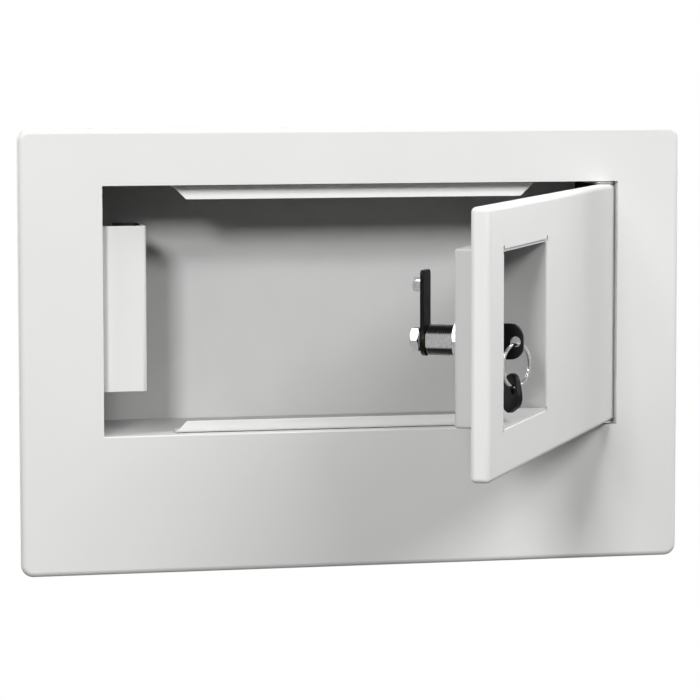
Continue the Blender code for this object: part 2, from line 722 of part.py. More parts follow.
def cam_washer():
    outer = circle(LOCK_CENTRE, CAM_WASHER_RADIUS)
    bore = circle(LOCK_CENTRE, STUD_RADIUS + CLEARANCE)
    washer = ring_plate("cam_washer", outer, bore, CAM_WASHER_Y, CAM_WASHER_Y + CAM_WASHER)
    smooth(washer)
    plated(washer)
    return washer


def cam_nut():
    nut = prism("cam_nut", hexagon(LOCK_CENTRE, CAM_NUT_FLATS), "Y", CAM_NUT_Y, CAM_NUT_Y + CAM_NUT)
    cut_hole(nut, LOCK_CENTRE, STUD_RADIUS + CLEARANCE, "Y", CAM_NUT_Y - OVERRUN,
             CAM_NUT_Y + CAM_NUT + OVERRUN)
    smooth(nut)
    plated(nut)
    return nut


# Keys: a cut blade whose tang is held in a moulded head with a ring hole, both keys alike
KEY_HEAD_CORNER = 0.008
KEY_BLADE_IN_LOCK = 0.019
KEY_TANG = 0.011
KEY_TIP = 0.002
KEY_CUT_TOP = 0.0012
KEY_CUT_FLAT = 0.0004
KEY_CUT_SHARES = (0.30, 0.16, 0.36, 0.22, 0.32)
KEY_END_Y = LOCK_FACE_Y - KEY_OUTSIDE
KEY_HOLE = Vector((LOCK_X, KEY_END_Y + KEY_HOLE_INSET, LOCK_RISE))


def key_blade(name):
    # Both pieces of a key lie along Y in the plane of Y and Z, with the ring hole at the origin
    half_blade = KEY_BLADE_HEIGHT / 2
    bow_end = KEY_BOW_LENGTH - KEY_HOLE_INSET
    tip = KEY_OUTSIDE + KEY_BLADE_IN_LOCK - KEY_HOLE_INSET
    outline = [(bow_end - KEY_TANG, half_blade), (bow_end - KEY_TANG, -half_blade)]
    for place, share in zip(wafer_places(), KEY_CUT_SHARES):
        middle = place - KEY_HOLE.y
        depth = share * KEY_BLADE_HEIGHT - half_blade
        outline += [(middle - KEY_CUT_TOP, -half_blade), (middle - KEY_CUT_FLAT, depth),
                    (middle + KEY_CUT_FLAT, depth), (middle + KEY_CUT_TOP, -half_blade)]
    outline += [(tip - KEY_TIP, -half_blade), (tip, KEY_TIP - half_blade), (tip, half_blade - KEY_TIP),
                (tip - KEY_TIP, half_blade)]
    blade = prism(name, outline, "X", -KEY_SHEET / 2, KEY_SHEET / 2)
    plated(blade)
    return blade


def key_head(name):
    middle = (KEY_BOW_LENGTH / 2 - KEY_HOLE_INSET, 0)
    outline = rounded_rectangle(middle, KEY_BOW_LENGTH / 2, KEY_BOW_HEIGHT / 2, KEY_HEAD_CORNER, 2 * BEND_STEPS)
    half = KEY_HEAD_SHEET / 2
    head = prism(name, outline, "X", -half, half)
    bow_end = KEY_BOW_LENGTH - KEY_HOLE_INSET
    wide = KEY_SHEET / 2 + CLEARANCE
    high = KEY_BLADE_HEIGHT / 2 + CLEARANCE
    cut(head, box("slot", (0, 0), (wide, high), bow_end - KEY_TANG - CLEARANCE, bow_end + OVERRUN))
    cut_hole(head, (0, 0), KEY_HOLE_RADIUS, "X", -half - OVERRUN, half + OVERRUN)
    smooth(head)
    moulded(head)
    return head


# Ring: hangs in the key's hole, turned a little from the door's plane
RING_TWIST = math.radians(-25)
RING_STEPS = 36
WIRE_SIDES = 10


def wire_drop(angle):
    # How far off a hole's centre the wire lies where it crosses the head at this angle
    seat = KEY_HOLE_RADIUS - CLEARANCE - RING_WIRE / math.cos(angle)
    return math.sqrt(seat ** 2 - (KEY_HEAD_SHEET / 2 * math.tan(angle)) ** 2)


RING_CENTRE = KEY_HOLE - Vector((0, 0, wire_drop(RING_TWIST) + RING_RADIUS))
SPARE_TURN = math.radians(-52)
SPARE_HOLE = RING_CENTRE - Vector((0, 0, RING_RADIUS + wire_drop(SPARE_TURN - RING_TWIST)))


def key_ring():
    mesh_edit = bmesh.new()
    wire = bmesh.ops.create_circle(mesh_edit, segments=WIRE_SIDES, radius=RING_WIRE,
                                   matrix=Matrix.Translation((RING_RADIUS, 0, 0)))
    edges = list({edge for vert in wire["verts"] for edge in vert.link_edges})
    bmesh.ops.spin(mesh_edit, geom=wire["verts"] + edges, cent=(0, 0, 0), axis=(0, 1, 0),
                   angle=math.tau, steps=RING_STEPS, use_merge=True)
    ring = make_object("key_ring", mesh_edit)
    ring.data.transform(Matrix.Rotation(RING_TWIST, 4, "Z"))
    ring.data.transform(Matrix.Translation(RING_CENTRE))
    smooth(ring)
    bare_steel(ring)
    return ring


# Spare key: hangs on the ring's foot, turned inward, its tip down on the pocket's lower wall
SPARE_REACH = KEY_OUTSIDE + KEY_BLADE_IN_LOCK - KEY_TIP - KEY_HOLE_INSET
SPARE_CORNER = math.hypot(SPARE_REACH, KEY_BLADE_HEIGHT / 2)
SPARE_FALL = SPARE_HOLE.z - (POCKET_RISE - POCKET_HEIGHT / 2) - CLEARANCE
SPARE_DROP = math.asin(min(1, SPARE_FALL / SPARE_CORNER)) - math.atan2(KEY_BLADE_HEIGHT / 2, SPARE_REACH)


def assemble():
    clear_scene()
    face_plate()
    tub_wrap()
    tub_back()
    stop_lip("stop_lip_top", 1, TOP_LIP_HEIGHT)
    stop_lip("stop_lip_bottom", -1, BOTTOM_LIP_HEIGHT)
    strike_channel()
    hinge_leaf("hinge_leaf_upper", 1)
    hinge_leaf("hinge_leaf_lower", -1)
    rivets = [(end, place) for end in (1, -1) for place in rivet_places()]
    for number, (end, place) in enumerate(rivets, 1):
        hinge_rivet(f"hinge_rivet_{number}", end, place)

    door_axis = pivot_frame("door_axis", PIVOT, angle=OPEN_ANGLE)
    door_items = [door_skin(), door_stiffener(), lock_pocket(), lock_body(), lock_washer(), lock_nut(),
                  hinge_block("hinge_block_upper", 1), hinge_block("hinge_block_lower", -1),
                  hinge_pin("hinge_pin_upper", 1), hinge_pin("hinge_pin_lower", -1)]
    for item in door_items:
        carry(item, door_axis, PIVOT)

    lock_origin = Vector((LOCK_X, LOCK_FACE_Y, LOCK_RISE))
    lock_axis = pivot_frame("lock_axis", lock_origin, door_axis, PIVOT)
    wafers = [wafer_tumbler(f"wafer_{number}", place) for number, place in enumerate(wafer_places(), 1)]
    for item in [lock_plug(), cam(), cam_boss(), cam_washer(), cam_nut()] + wafers:
        carry(item, lock_axis, lock_origin)

    key_axis = pivot_frame("key_axis", KEY_HOLE, lock_axis, lock_origin)
    for item in (key_blade("key_blade"), key_head("key_head")):
        item.parent = key_axis

    ring_axis = pivot_frame("ring_axis", RING_CENTRE, key_axis, KEY_HOLE)
    carry(key_ring(), ring_axis, RING_CENTRE)

    spare_axis = pivot_frame("spare_axis", SPARE_HOLE, ring_axis, RING_CENTRE)
    for spare in (key_blade("spare_key_blade"), key_head("spare_key_head")):
        spare.data.transform(Matrix.Rotation(-SPARE_DROP, 4, "X"))
        spare.data.transform(Matrix.Rotation(SPARE_TURN, 4, "Z"))
        spare.parent = spare_axis
    bpy.context.view_layer.update()


assemble()
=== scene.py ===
import json
import math

import bmesh
import bpy
from mathutils import Matrix, Vector


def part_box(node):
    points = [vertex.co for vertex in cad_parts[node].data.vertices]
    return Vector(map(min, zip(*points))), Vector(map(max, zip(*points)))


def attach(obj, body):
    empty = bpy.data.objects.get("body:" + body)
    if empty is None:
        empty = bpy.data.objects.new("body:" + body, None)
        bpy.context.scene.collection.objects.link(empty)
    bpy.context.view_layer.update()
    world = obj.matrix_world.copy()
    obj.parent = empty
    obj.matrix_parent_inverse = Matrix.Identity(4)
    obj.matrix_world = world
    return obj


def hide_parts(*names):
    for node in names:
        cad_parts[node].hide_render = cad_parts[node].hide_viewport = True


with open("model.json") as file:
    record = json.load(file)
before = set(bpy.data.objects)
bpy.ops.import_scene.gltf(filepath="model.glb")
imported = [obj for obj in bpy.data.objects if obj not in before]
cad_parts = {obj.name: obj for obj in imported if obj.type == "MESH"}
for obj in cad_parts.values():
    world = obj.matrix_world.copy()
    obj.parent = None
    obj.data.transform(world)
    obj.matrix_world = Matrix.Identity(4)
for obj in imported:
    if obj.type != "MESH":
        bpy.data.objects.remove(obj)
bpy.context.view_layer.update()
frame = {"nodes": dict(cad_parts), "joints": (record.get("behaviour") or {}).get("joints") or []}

# Viewpoint: a long lens to the left of the doorway and a little above it,
# so the open door is seen almost edge on with its lock hanging over the body.
CAMERA_PLACE = Vector((-0.4857, -2.2531, 0.1722))
CAMERA_YAW = math.radians(12.49)
CAMERA_PITCH = math.radians(5.22)
CAMERA_ROLL = math.radians(-0.06)
CAMERA_LENS = 167.48
CAMERA_SENSOR = 36
CAMERA_REACH = 30

scene = bpy.context.scene
forward = Vector((math.sin(CAMERA_YAW) * math.cos(CAMERA_PITCH),
                  math.cos(CAMERA_YAW) * math.cos(CAMERA_PITCH), -math.sin(CAMERA_PITCH)))
level = Vector((math.cos(CAMERA_YAW), -math.sin(CAMERA_YAW), 0))
above = level.cross(forward)
right = level * math.cos(CAMERA_ROLL) + above * math.sin(CAMERA_ROLL)
up = above * math.cos(CAMERA_ROLL) - level * math.sin(CAMERA_ROLL)
camera = bpy.data.objects.new("camera", bpy.data.cameras.new("camera"))
camera.data.lens = CAMERA_LENS
camera.data.sensor_width = CAMERA_SENSOR
camera.data.clip_end = CAMERA_REACH
camera.matrix_world = Matrix.Translation(CAMERA_PLACE) @ Matrix((right, up, -forward)).transposed().to_4x4()
scene.collection.objects.link(camera)
scene.camera = camera
scene.view_settings.view_transform = "Standard"

# Studio: a soft key lamp from the left, a wide strip in front, one high lamp at each side, and two low
# lamps behind. The camera, gloss and glass see a white room; what that room lights with is very dim.
DOORWAY = Vector((0, -0.1, 0))
LAMP_DISTANCE = 3.0
ROOM_LIGHT = 0.005
ROOM_WHITE = 1.0
WHITE = (1, 1, 1, 1)


def linear(hex_colour):
    """The linear values of an sRGB colour written as six hex digits."""
    values = []
    for place in (0, 2, 4):
        value = int(hex_colour[place:place + 2], 16) / 255
        values.append(value / 12.92 if value <= 0.04045 else ((value + 0.055) / 1.055) ** 2.4)
    return (*values, 1)


def add_node(tree, kind, settings=None, inputs=None, links=None):
    """Adds one node with its settings, its input values and its incoming links."""
    node = tree.nodes.new(kind)
    for name, value in (settings or {}).items():
        setattr(node, name, value)
    for name, value in (inputs or {}).items():
        node.inputs[name].default_value = value
    for name, source in (links or {}).items():
        tree.links.new(source, node.inputs[name])
    return node


def lamp(name, azimuth, elevation, width, height, power):
    """A soft rectangular lamp that points at the doorway; azimuth 0 is straight in front."""
    light = bpy.data.lights.new(name, "AREA")
    light.shape = "RECTANGLE"
    light.size = width
    light.size_y = height
    light.energy = power
    turn, rise = math.radians(azimuth), math.radians(elevation)
    way = Vector((math.sin(turn) * math.cos(rise), -math.cos(turn) * math.cos(rise), math.sin(rise)))
    item = bpy.data.objects.new(name, light)
    item.location = DOORWAY + way * LAMP_DISTANCE
    item.rotation_euler = way.to_track_quat("Z", "Y").to_euler()
    scene.collection.objects.link(item)


def seen_rays(tree):
    """One where the camera, gloss or glass looks, and nought for light."""
    seen = add_node(tree, "ShaderNodeLightPath")
    either = add_node(tree, "ShaderNodeMath", {"operation": "MAXIMUM"},
                      links={0: seen.outputs["Is Camera Ray"], 1: seen.outputs["Is Glossy Ray"]})
    return add_node(tree, "ShaderNodeMath", {"operation": "MAXIMUM"},
                    links={0: either.outputs[0], 1: seen.outputs["Is Transmission Ray"]})


lamp("key_lamp", -24.5, 18.5, 0.42, 0.42, 52)
lamp("front_strip", 17, 28, 1.6, 0.35, 37)
lamp("right_high_lamp", 78, 47, 0.8, 0.8, 58)
lamp("left_high_lamp", -62, 57, 0.9, 0.9, 40)
lamp("rear_left_lamp", -140, 12, 1.6, 1.6, 40)
lamp("rear_right_lamp", 140, 12, 1.6, 1.6, 40)

world = bpy.data.worlds.new("studio")
scene.world = world
world.use_nodes = True
tree = world.node_tree
tree.nodes.clear()
dim = add_node(tree, "ShaderNodeBackground", inputs={"Color": WHITE, "Strength": ROOM_LIGHT})
white = add_node(tree, "ShaderNodeBackground", inputs={"Color": WHITE, "Strength": ROOM_WHITE})
mixed = add_node(tree, "ShaderNodeMixShader",
                 links={0: seen_rays(tree).outputs[0], 1: dim.outputs[0], 2: white.outputs[0]})
add_node(tree, "ShaderNodeOutputWorld", links={"Surface": mixed.outputs[0]})

# Floor: a plain pale floor a metre below the safe, which hangs in a wall. It glows white to the camera,
# takes the object's soft shadow, and is clear from below so that it never hides the underside.
FLOOR_DROP = 1.0
FLOOR_SIZE = 5.0
FLOOR_GLOW = 0.9
FLOOR_PAINT = "5A5A5A"

floor_shape = bmesh.new()
bmesh.ops.create_grid(floor_shape, x_segments=1, y_segments=1, size=FLOOR_SIZE / 2)
bmesh.ops.translate(floor_shape, verts=floor_shape.verts, vec=(0, 0, -FLOOR_DROP))
floor = bpy.data.objects.new("floor", bpy.data.meshes.new("floor"))
floor_shape.to_mesh(floor.data)
floor_shape.free()
scene.collection.objects.link(floor)
floor_finish = bpy.data.materials.new("pale_floor")
floor_finish.use_nodes = True
tree = floor_finish.node_tree
tree.nodes.clear()
matt = add_node(tree, "ShaderNodeBsdfDiffuse", inputs={"Color": linear(FLOOR_PAINT)})
glow = add_node(tree, "ShaderNodeEmission", inputs={"Color": WHITE})
strength = add_node(tree, "ShaderNodeMath", {"operation": "MULTIPLY"}, {1: FLOOR_GLOW},
                    {0: seen_rays(tree).outputs[0]})
tree.links.new(strength.outputs[0], glow.inputs["Strength"])
lit = add_node(tree, "ShaderNodeAddShader", links={0: matt.outputs[0], 1: glow.outputs[0]})
clear = add_node(tree, "ShaderNodeBsdfTransparent")
underside = add_node(tree, "ShaderNodeNewGeometry")
surface = add_node(tree, "ShaderNodeMixShader",
                   links={0: underside.outputs["Backfacing"], 1: lit.outputs[0], 2: clear.outputs[0]})
add_node(tree, "ShaderNodeOutputMaterial", links={"Surface": surface.outputs[0]})
floor.data.materials.append(floor_finish)

# Face plate: one steel sheet pressed into a shallow pan, with the doorway blanked out of it and its rim
# turned back to the wall. It is enamelled all over, and covers the edge of the hole in the wall.
PLATE_LOW, PLATE_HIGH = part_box("face_plate")
SHEET = 0.0019
PLATE_CORNER = 0.008
CORNER_STEPS = 10
RIM_BEND = 0.0035
BEND_STEPS = 6
DOORWAY_HALF = Vector((0.1785, 0, 0.084))
EDGE_BREAK = 0.0003
EDGE_STEPS = 2
ENAMEL = "DCDCDA"
ENAMEL_SHADE = "D6D6D5"
PEEL_SIZE = 0.0011
PEEL_DEPTH = 0.0001
DRIFT_SIZE = 0.11
FINE = 0.00001
FACING = 0.9
ALONG = 0.99
FLAT = 0.999
SQUARE = 0.99995
SHARP = math.radians(50)


def new_finish(name, metallic=0.0, specular=0.5):
    """A material with its tree, its shader and the piece's own coordinates."""
    material = bpy.data.materials.new(name)
    material.use_nodes = True
    tree = material.node_tree
    shader = tree.nodes["Principled BSDF"]
    shader.inputs["Metallic"].default_value = metallic
    shader.inputs["Specular IOR Level"].default_value = specular
    return material, tree, shader, add_node(tree, "ShaderNodeTexCoord").outputs["Object"]


def noise(tree, place, size, detail):
    """Noise whose blotches are about this size in metres."""
    return add_node(tree, "ShaderNodeTexNoise", inputs={"Scale": 1 / size, "Detail": detail},
                    links={"Vector": place}).outputs[0]


def two_tones(tree, shader, pattern, first, second):
    """Mixes two hex colours by a pattern into the base colour."""
    tone = add_node(tree, "ShaderNodeMix", {"data_type": "RGBA"}, links={"Factor": pattern})
    tone.inputs["A"].default_value = linear(first)
    tone.inputs["B"].default_value = linear(second)
    tree.links.new(tone.outputs["Result"], shader.inputs["Base Color"])


def relief(tree, shader, pattern, depth, strength):
    """Bumps the surface by a pattern of this depth in metres."""
    bump = add_node(tree, "ShaderNodeBump", inputs={"Strength": strength, "Distance": depth},
                    links={"Height": pattern})
    tree.links.new(bump.outputs[0], shader.inputs["Normal"])


def vary_roughness(tree, shader, pattern, low, high):
    """Spreads the roughness between two values by a pattern."""
    spread = add_node(tree, "ShaderNodeMapRange", inputs={"To Min": low, "To Max": high},
                      links={"Value": pattern})
    tree.links.new(spread.outputs[0], shader.inputs["Roughness"])


def peeled_finish(name, specular):
    """A new finish with the orange peel of a sprayed coat."""
    material, tree, shader, place = new_finish(name, specular=specular)
    relief(tree, shader, noise(tree, place, PEEL_SIZE, detail=2), PEEL_DEPTH, strength=0.12)
    return material, tree, shader, place


def baked_enamel(name, light, shade, drift_size, specular=0.2):
    """Enamel that drifts between two close tones over this size in metres."""
    material, tree, shader, place = peeled_finish(name, specular)
    drift = noise(tree, place, drift_size, detail=3)
    two_tones(tree, shader, drift, light, shade)
    vary_roughness(tree, shader, drift, low=0.42, high=0.5)
    return material


def block(low, high):
    """A plain block between two corners, for the next operators to shape."""
    shape = bmesh.new()
    bmesh.ops.create_cube(shape, size=1)
    bmesh.ops.scale(shape, verts=shape.verts, vec=high - low)
    bmesh.ops.translate(shape, verts=shape.verts, vec=(low + high) / 2)
    return shape


def round_edges(shape, edges, radius, segments):
    """Rounds these edges to a radius, as a press tool does."""
    bmesh.ops.bevel(shape, geom=edges, affect="EDGES", offset=radius, offset_type="OFFSET",
                    segments=segments, profile=0.5, material=-1, clamp_overlap=True)


def edges_along(shape, axis):
    """The edges that run along X (0), Y (1) or Z (2)."""
    found = []
    for edge in shape.edges:
        way = (edge.verts[1].co - edge.verts[0].co).normalized()
        if abs(way[axis]) > ALONG:
            found.append(edge)
    return found


def edges_at(shape, y):
    """The edges that lie in the plane of this y."""
    return [edge for edge in shape.edges if all(abs(vert.co.y - y) < FINE for vert in edge.verts)]


def drop_faces(shape, way, low=None, high=None):
    """Deletes the faces that look along Y this way, or only those between two corners."""
    gone = []
    for face in shape.faces:
        middle = face.calc_center_median()
        inside = low is None or (low.x < middle.x < high.x and low.z < middle.z < high.z)
        if face.normal.y * way > FACING and inside:
            gone.append(face)
    bmesh.ops.delete(shape, geom=gone, context="FACES")


def cut_window(shape, low, high):
    """Opens a rectangle in the front of a pan."""
    for axis, stop in ((0, low.x), (0, high.x), (2, low.z), (2, high.z)):
        way = Vector((axis == 0, 0, axis == 2))
        bmesh.ops.bisect_plane(shape, geom=shape.verts[:] + shape.edges[:] + shape.faces[:],
                               plane_co=way * stop, plane_no=way)
    drop_faces(shape, -1, low, high)


def break_edges(shape, width):
    """Takes the sharp edges off, as deburring and paint do."""
    sharp = [edge for edge in shape.edges if len(edge.link_faces) == 2 and edge.calc_face_angle() > SHARP]
    round_edges(shape, sharp, width, EDGE_STEPS)


def give_sheet(shape, thickness, outward=False):
    """Turns a surface into sheet metal, which grows inwards unless told otherwise."""
    bmesh.ops.remove_doubles(shape, verts=shape.verts, dist=FINE)
    bmesh.ops.recalc_face_normals(shape, faces=shape.faces)
    bmesh.ops.solidify(shape, geom=shape.faces[:], thickness=-thickness if outward else thickness)
    bmesh.ops.recalc_face_normals(shape, faces=shape.faces)
    break_edges(shape, EDGE_BREAK)


def joint(name):
    """The frame's joint of this name."""
    return next(item for item in frame["joints"] if item["name"] == name)


PIVOT = Vector(joint("door_hinge")["pos_m"])
OPEN_ANGLE = -math.radians(joint("door_hinge")["range_deg"][0])
OPEN = Matrix.Translation(PIVOT) @ Matrix.Rotation(OPEN_ANGLE, 4, "Z") @ Matrix.Translation(-PIVOT)
DOOR_ACROSS = OPEN.to_3x3() @ Vector((1, 0, 0))
DOOR_INWARD = OPEN.to_3x3() @ Vector((0, 1, 0))
SQUARE_WAYS = [Vector((1, 0, 0)), Vector((0, 1, 0)), Vector((0, 0, 1)), DOOR_ACROSS, DOOR_INWARD]


def make_piece(shape, name, material, body, slot, *nodes):
    """Makes a piece that stands for these nodes, smooth but for faces square to the body or the door."""
    mesh = bpy.data.meshes.new(name)
    shape.to_mesh(mesh)
    shape.free()
    mesh.set_sharp_from_angle(angle=SHARP)
    for face in mesh.polygons:
        face.use_smooth = all(abs(face.normal.dot(way)) < SQUARE for way in SQUARE_WAYS)
    mesh.materials.append(material)
    piece = bpy.data.objects.new(name, mesh)
    scene.collection.objects.link(piece)
    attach(piece, body)
    if nodes:
        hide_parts(*nodes)
    return piece


# Baked enamel: a stoved satin paint with a faint orange peel about a millimetre across and a tone that
# drifts a little, so it takes broad soft light and gives no mirror image.
enamel = baked_enamel("baked_enamel", ENAMEL, ENAMEL_SHADE, DRIFT_SIZE)

plate = block(PLATE_LOW, PLATE_HIGH)
round_edges(plate, edges_along(plate, 1), PLATE_CORNER, CORNER_STEPS)
drop_faces(plate, 1)
round_edges(plate, edges_at(plate, PLATE_LOW.y), RIM_BEND, BEND_STEPS)
cut_window(plate, -DOORWAY_HALF, DOORWAY_HALF)
give_sheet(plate, SHEET)
make_piece(plate, "plate_pan", enamel, "body", "paint", "face_plate")

# Body walls: one steel strip folded into four walls, with a flange behind the plate, two screw holes in
# each side and four rivet holes. Enamelled outside. Inside, the floor is painted a greyer white as painted
# shade, and the roof and side walls fade to a dark painted shadow just behind the doorway.
RECESS_SHADE = "CCCCCB"
RECESS_SHADE_DARKER = "C4C4C4"
INSIDE_DRIFT = DRIFT_SIZE / 3
PAINTED_SHADOW_GREY = "2C2C2D"
SHADOW_FADE = 0.013
SHADOW_RAGGED = 0.008
SHADOW_CLOUDS = 0.02
WALL_SHADOW_START = -0.093
WALL_SHADOW_COAT, FLOOR_SHADE_COAT = 1, 2


def softened(node, width=EDGE_BREAK):
    """A copy of a frame node, welded up and with its sharp edges taken off."""
    shape = bmesh.new()
    shape.from_mesh(frame["nodes"][node].data)
    bmesh.ops.remove_doubles(shape, verts=shape.verts, dist=FINE / 2)
    bmesh.ops.dissolve_limit(shape, angle_limit=math.radians(1), verts=shape.verts, edges=shape.edges)
    break_edges(shape, width)
    return shape


def painted_shadow_behind(name, start):
    """Enamel on the front of a piece, fading to a dark painted shadow behind this y."""
    material, tree, shader, place = peeled_finish(name, specular=0.02)
    depth = add_node(tree, "ShaderNodeSeparateXYZ", links={0: place}).outputs["Y"]
    clouds = noise(tree, place, SHADOW_CLOUDS, detail=4)
    ragged = add_node(tree, "ShaderNodeMath", {"operation": "MULTIPLY_ADD"},
                      {1: SHADOW_RAGGED, 2: -SHADOW_RAGGED / 2}, {0: clouds})
    reach = add_node(tree, "ShaderNodeMath", {"operation": "ADD"}, links={0: depth, 1: ragged.outputs[0]})
    shadow_mask = add_node(tree, "ShaderNodeMapRange", {"interpolation_type": "SMOOTHSTEP"},
                    {"From Min": start, "From Max": start + SHADOW_FADE}, {"Value": reach.outputs[0]})
    two_tones(tree, shader, shadow_mask.outputs[0], ENAMEL, PAINTED_SHADOW_GREY)
    vary_roughness(tree, shader, shadow_mask.outputs[0], low=0.6, high=0.95)
    return material


# Inside grey: the floor, the back and the pocket are painted a greyer, flatter white, a painted shade for
# the recess.
# Painted shadow: the roof and the side walls fade to a dark matt grey just behind the doorway, as the shade
# inside.
recess_shade_white = baked_enamel("recess_shade_enamel", RECESS_SHADE, RECESS_SHADE_DARKER, INSIDE_DRIFT, specular=0.05)
wrap = make_piece(softened("tub_wrap", EDGE_BREAK / 2), "wrap", enamel, "body", "paint", "tub_wrap")
wrap.data.materials.append(painted_shadow_behind("painted_shadow_inside", WALL_SHADOW_START))
wrap.data.materials.append(recess_shade_white)
# The floor takes the greyer painted shade, and the roof and side walls the dark painted shadow.
for face in wrap.data.polygons:
    from_middle = Vector((face.center.x / DOORWAY_HALF.x, 0, face.center.z / DOORWAY_HALF.z))
    within = max(abs(from_middle.x), abs(from_middle.z)) < 1 + FINE
    if within and face.normal.dot(from_middle) < 0:
        face.material_index = FLOOR_SHADE_COAT if face.normal.z > 0.5 else WALL_SHADOW_COAT

# Back: a second steel pan lapped over the rear of the walls and held by a row of spot welds on each side,
# which leave shallow rings under the enamel. Its inner face is painted the same greyer white as the floor,
# a painted shade for the recess.
BACK_LOW, BACK_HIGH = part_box("tub_back")
BACK_CORNER = 0.0053
BACK_BEND = 0.003
BACK_BEND_STEPS = 5
INNER_SHADE_COAT = 1
WELD_RADIUS = 0.0026
WELD_RISE = 0.00015
WELD_PITCH = 0.05
WELD_INSET = 0.0065
SMALL_ROUND = 24


def turned(profile, steps=48, closed=False):
    """A round piece: points of (radius, height) spun about Z."""
    shape = bmesh.new()
    points = [shape.verts.new((radius, 0, height)) for radius, height in profile]
    pairs = list(zip(points, points[1:]))
    if closed:
        pairs.append((points[-1], points[0]))
    edges = [shape.edges.new(pair) for pair in pairs]
    bmesh.ops.spin(shape, geom=points + edges, cent=(0, 0, 0), axis=(0, 0, 1), angle=math.tau, steps=steps,
                   use_merge=True)
    bmesh.ops.remove_doubles(shape, verts=shape.verts, dist=FINE / 2)
    bmesh.ops.recalc_face_normals(shape, faces=shape.faces)
    return shape


def place_shape(shape, matrix):
    """Moves a whole shape, and hands it back."""
    bmesh.ops.transform(shape, matrix=matrix, verts=shape.verts)
    return shape


def add_shape(shape, other):
    """Adds a copy of another shape to this one, and frees the other."""
    mesh = bpy.data.meshes.new("part")
    other.to_mesh(mesh)
    other.free()
    shape.from_mesh(mesh)
    bpy.data.meshes.remove(mesh)


back = block(BACK_LOW, BACK_HIGH)
round_edges(back, edges_along(back, 1), BACK_CORNER, BEND_STEPS)
drop_faces(back, -1)
round_edges(back, edges_at(back, BACK_HIGH.y), BACK_BEND, BACK_BEND_STEPS)
give_sheet(back, SHEET)
back_pan = make_piece(back, "back_pan", enamel, "body", "paint", "tub_back")
back_pan.data.materials.append(recess_shade_white)
# The inner face takes the greyer painted shade.
for face in back_pan.data.polygons:
    if face.normal.y < -0.5:
        face.material_index = INNER_SHADE_COAT

spot = turned([(0, WELD_RISE / 3), (WELD_RADIUS * 0.5, WELD_RISE / 2), (WELD_RADIUS * 0.75, WELD_RISE),
               (WELD_RADIUS, 0), (0, 0)], SMALL_ROUND)
welds = bmesh.new()
for out_x, out_z in ((-1, 0), (1, 0), (0, -1), (0, 1)):
    along = Vector((abs(out_z), 0, abs(out_x)))
    middle = Vector((out_x * BACK_HIGH.x, BACK_LOW.y + WELD_INSET, out_z * BACK_HIGH.z))
    turn = Vector((out_x, 0, out_z)).to_track_quat("Z", "Y").to_matrix().to_4x4()
    count = int(2 * along.dot(BACK_HIGH) / WELD_PITCH)
    for number in range(count):
        step = along * (number - (count - 1) / 2) * WELD_PITCH
        add_shape(welds, place_shape(spot.copy(), Matrix.Translation(middle + step) @ turn))
spot.free()
make_piece(welds, "spot_welds", enamel, "body", "paint")

# Stop lips and strike: folded steel strips spot-welded inside the doorway. The lips stop the shut door,
# and the cam turns behind the strike's rear flange.
LIP_HIGHLIGHT_WHITE = "F7F7F5"
LIP_HIGHLIGHT_WHITE_TWO = "F2F2F0"
STRIKE_SHADOW_START = -0.082

# Painted highlight: the upper lip is painted whiter than the rest of the safe, for the light that catches
# it.
# The lower lip is painted with the plate, and the strike fades to a dark painted shadow like the walls.
lip_highlight_enamel = baked_enamel("lip_highlight_enamel", LIP_HIGHLIGHT_WHITE, LIP_HIGHLIGHT_WHITE_TWO, INSIDE_DRIFT)
# The strike fades to a dark painted shadow towards its back.
strike_shadow_paint = painted_shadow_behind("painted_shadow_strike", STRIKE_SHADOW_START)
make_piece(softened("stop_lip_top"), "upper_stop", lip_highlight_enamel, "body", "paint", "stop_lip_top")
make_piece(softened("stop_lip_bottom"), "lower_stop", enamel, "body", "paint", "stop_lip_bottom")
make_piece(softened("strike_channel"), "strike", strike_shadow_paint, "body", "paint", "strike_channel")

# Hinge leaves: two flat steel leaves, each with a round hole for a pin of the door, zinc plated and then
# riveted to the roof and the floor of the body.
ZINC = "B9BBBE"
ZINC_SHADE = "9DA0A4"
CRYSTAL_SIZE = 0.004
HANDLING_MARKS = 0.003

# Zinc plate: a soft blue-white metal, a little dull from handling, with a faint crystal pattern, drawn at
# 4 mm, coarser than it is, so that it shows.
zinc, tree, shader, place = new_finish("zinc_plate", metallic=1.0)
crystals = add_node(tree, "ShaderNodeTexVoronoi", inputs={"Scale": 1 / CRYSTAL_SIZE},
                    links={"Vector": place})
two_tones(tree, shader, crystals.outputs["Distance"], ZINC, ZINC_SHADE)
vary_roughness(tree, shader, noise(tree, place, HANDLING_MARKS, detail=3), low=0.28, high=0.42)

for node, name in (("hinge_leaf_upper", "upper_leaf"), ("hinge_leaf_lower", "lower_leaf")):
    make_piece(softened(node), name, zinc, "body", "bare_steel", node)

# Rivets: four zinc-plated steel rivets, two to a leaf, put in from inside the body and headed over on its
# outside in a low dome.
RIVET_RADIUS = 0.002
RIVET_HEAD_RADIUS = 0.0038
RIVET_HEAD = 0.0013
RIVET_ROUND = 32
DOME_STEPS = 6

